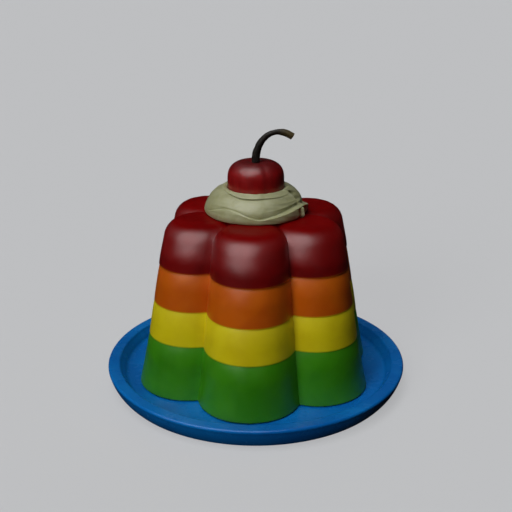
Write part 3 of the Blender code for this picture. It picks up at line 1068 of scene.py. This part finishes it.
def stem_line(share):
    """A bent line in the upright plane that faces the viewer."""
    rest = 1.0 - share
    weights = (rest**3, 3 * share * rest**2, 3 * share**2 * rest, share**3)
    points = ((0.0, STEM_FOOT), *STEM_BEND, STEM_TIP)
    across = sum(w * point[0] for w, point in zip(weights, points))
    height = sum(w * point[1] for w, point in zip(weights, points))
    return Vector((across * math.cos(TURNED), across * math.sin(TURNED), height))


def stem_radius(share):
    taper = mix(STEM_FOOT_RADIUS, STEM_NECK_RADIUS, ease(share / STEM_NECK))
    return mix(taper, STEM_KNOB_RADIUS, ease((share - STEM_NECK) / (STEM_KNOB - STEM_NECK)))


# %% Stem: rings along the line
STEM_LUMPS = 0.00012
GROOVE_SIZE, GROOVE_CIRCLE, GROOVE_STRETCH = 0.0007, 0.0016, 0.25
KNOT_SIZE, KNOT_CIRCLE, KNOT_SHARE = 0.0016, 0.001, 0.8
CAP_DENT = 0.0003
LOOK_AHEAD = 0.002


def stem_place(angle, level):
    cap = clamp((level - STEM_LEVELS) / STEM_CAP_LEVELS)
    share = clamp(level / STEM_LEVELS)
    before, after = max(share - LOOK_AHEAD, 0.0), min(share + LOOK_AHEAD, 1.0)
    ahead = (stem_line(after) - stem_line(before)).normalized()
    sideways = Vector((-math.sin(TURNED), math.cos(TURNED), 0.0))
    upwards = ahead.cross(sideways)
    around = sideways * math.cos(angle) + upwards * math.sin(angle)
    centre = stem_line(share)
    groove_spot = around * GROOVE_CIRCLE + centre * GROOVE_STRETCH
    grooves = STEM_LUMPS * lump(groove_spot, GROOVE_SIZE, seed=4.4)
    knots = STEM_LUMPS * lump(centre + around * KNOT_CIRCLE, KNOT_SIZE, seed=7.7) * KNOT_SHARE
    radius = stem_radius(share) - STEM_LUMPS + grooves + knots
    radius *= math.cos(cap * math.pi / 2) ** 0.5
    if level == STEM_LEVELS + STEM_CAP_LEVELS:
        radius = 0.0
    return centre - ahead * CAP_DENT * cap**3 + around * radius


# %% [markdown]
# Its bark is nearly black where it dried, with fine grooves along the stem, and turns olive brown
# near the knob where it was green last. The change of colour follows how far out along the bend a
# place is, and the grooves are fine noise, stretched upwards.

# %% Stem: bark
BARK_DARK = paint(14, 11, 8)
BARK_BROWN = paint(29, 22, 14)
BARK_OLIVE = paint(84, 70, 36)
BARK_GROOVE_SIZE, BARK_GROOVE_STRETCH = 0.0009, (1.0, 1.0, 0.3)
BARK_GROOVE_DEPTH = 0.00015
OLIVE_FROM = STEM_TIP[0] * 0.55


def stem_bark():
    bark = Finish("stem_bark")
    grooves = bark.cloud(BARK_GROOVE_SIZE, stretch=BARK_GROOVE_STRETCH)
    colour = bark.blend(bark.span(grooves, 0.35, 0.70), BARK_DARK, BARK_BROWN)
    near_knob = bark.span(bark.coordinate("X"), OLIVE_FROM, STEM_TIP[0], 0.0, 0.85)
    colour = bark.blend(near_knob, colour, BARK_OLIVE)
    roughness = bark.span(grooves, 0.3, 0.7, 0.50, 0.75)
    bark.set(Base_Color=colour, Roughness=roughness, Specular_IOR_Level=0.35)
    bark.bump(grooves, BARK_GROOVE_DEPTH, 0.6)
    return bark.material


# %% Stem: make it
stem_mesh = plain_tube(STEM_SIDES, STEM_LEVELS + STEM_CAP_LEVELS)
bend_tube(stem_mesh, stem_place)
close_up(stem_mesh)
make_piece("cherry_stalk", stem_mesh, stem_bark(), "cherry_stem", 60.0)

# %% [markdown]
# ## The studio
#
# The dessert stands on a plain pale table in soft light. The table is a wide disc, so its edge
# shows from no side. It is lit mostly from below, as photographers' tables are: that leaves only a
# faint shadow round the plate. A pale round backdrop stands round it. Neither throws light on the
# dessert, so the undersides and the sides in shade keep their depth. Both are made by a circle,
# which the backdrop extrudes upwards.

# %% The table
TABLE_RADIUS = 6.0
BACKDROP_HEIGHT = 12.0
PALE = paint(190, 191, 193)
TABLE_GLOW = 0.80
TABLE_PAINT = 0.34
ROUND_STEPS = 96


def stage_piece(name, bm, finish):
    piece = put_in_scene(name, finished_mesh(name, bm, finish.material))
    piece.visible_diffuse = piece.visible_glossy = piece.visible_transmission = False
    return piece


table_finish = Finish("pale_table")
table_finish.set(Base_Color=tuple(TABLE_PAINT * value for value in PALE))
table_finish.set(Roughness=1.0, Specular_IOR_Level=0.0)
table_finish.set(Emission_Color=PALE, Emission_Strength=TABLE_GLOW)
table_mesh = bmesh.new()
bmesh.ops.create_circle(table_mesh, cap_ends=True, segments=ROUND_STEPS, radius=TABLE_RADIUS)
stage_piece("table", table_mesh, table_finish)

# %% The backdrop
backdrop_finish = Finish("pale_backdrop")
backdrop_finish.set(Base_Color=(0.0, 0.0, 0.0), Specular_IOR_Level=0.0)
backdrop_finish.set(Emission_Color=PALE, Emission_Strength=1.0)
backdrop_mesh = bmesh.new()
bmesh.ops.create_circle(backdrop_mesh, segments=ROUND_STEPS, radius=TABLE_RADIUS)
raised = bmesh.ops.extrude_edge_only(backdrop_mesh, edges=backdrop_mesh.edges[:])["geom"]
raised = [part for part in raised if isinstance(part, bmesh.types.BMVert)]
bmesh.ops.translate(backdrop_mesh, verts=raised, vec=(0.0, 0.0, BACKDROP_HEIGHT))
backdrop = stage_piece("backdrop", backdrop_mesh, backdrop_finish)
backdrop.visible_shadow = False
print("table and backdrop are", TABLE_RADIUS * 2, "m across")

# %% [markdown]
# Far lamps do the rest, because they light the table evenly from edge to edge, which a near one
# can't. Two plain ones stand in front on the left, a high one for the tops and a low one for the
# walls, and a faint one behind keeps the back from going black. Glossy pieces would mirror all
# three as separate spots. So they light the surfaces only, and a fourth lamp does the opposite: it
# is as wide as a large window, throws no light, and is only there to be mirrored, as one soft
# patch. A very dim sky fills what is left.


# %% The lamps
def lamp(name, azimuth, elevation, width, power):
    """A far soft lamp, that many degrees wide. Azimuth 0 is in front, and positive to the right."""
    light = bpy.data.lights.new(name, "SUN")
    light.energy = power
    light.angle = math.radians(width)
    made = put_in_scene(name, light)
    aside, up = math.radians(azimuth), math.radians(elevation)
    away = Vector((math.sin(aside) * math.cos(up), -math.cos(aside) * math.cos(up), math.sin(up)))
    made.rotation_euler = away.to_track_quat("Z", "Y").to_euler()
    return made


high_window = lamp("high_window", -34.0, 72.0, 36.0, 1.35)
low_window = lamp("low_window", -30.0, 25.0, 26.0, 0.95)
back_window = lamp("back_window", 180.0, 30.0, 50.0, 0.24)
for plain in (high_window, low_window, back_window):
    plain.visible_glossy = False
shine = lamp("shine", -45.0, 63.0, 66.0, 2.90)
shine.visible_diffuse = False
print("lamps:", ", ".join(light.name for light in bpy.data.lights))

# %% The sky
SKY_GLOW = 0.012

sky = bpy.data.worlds.new("dim_sky")
sky.use_nodes = True
background = sky.node_tree.nodes["Background"]
background.inputs["Color"].default_value = (*PALE, 1.0)
background.inputs["Strength"].default_value = SKY_GLOW
bpy.context.scene.world = sky
bpy.context.scene.view_settings.view_transform = "Standard"

# %% [markdown]
# ## The camera
#
# The view is from a little above the table and slightly to the right of the front flute, near
# enough that the plate's far rim looks narrower than its near rim.

# %% Camera
VIEW_ELEVATION = 0.3499
VIEW_DISTANCE = 0.41865
VIEW_ASIDE = 0.0010 * PLATE_RADIUS
VIEW_HEIGHT = 0.06392
LENS, SENSOR_WIDTH = 59.64, 36.0
NEAREST_SEEN = 0.01

camera_data = bpy.data.cameras.new("camera")
camera_data.lens = LENS
camera_data.sensor_width = SENSOR_WIDTH
camera_data.clip_start = NEAREST_SEEN
camera = put_in_scene("camera", camera_data)
aim = Vector((VIEW_ASIDE * math.cos(TURNED), VIEW_ASIDE * math.sin(TURNED), VIEW_HEIGHT))
level_reach = VIEW_DISTANCE * math.cos(VIEW_ELEVATION)
rise = VIEW_DISTANCE * math.sin(VIEW_ELEVATION)
towards = Vector((level_reach * math.sin(TURNED), -level_reach * math.cos(TURNED), rise))
camera.location = aim + towards
camera.rotation_euler = (math.pi / 2 - VIEW_ELEVATION, 0.0, TURNED)
bpy.context.scene.camera = camera
print("camera at", [round(value, 3) for value in camera.location], "m")
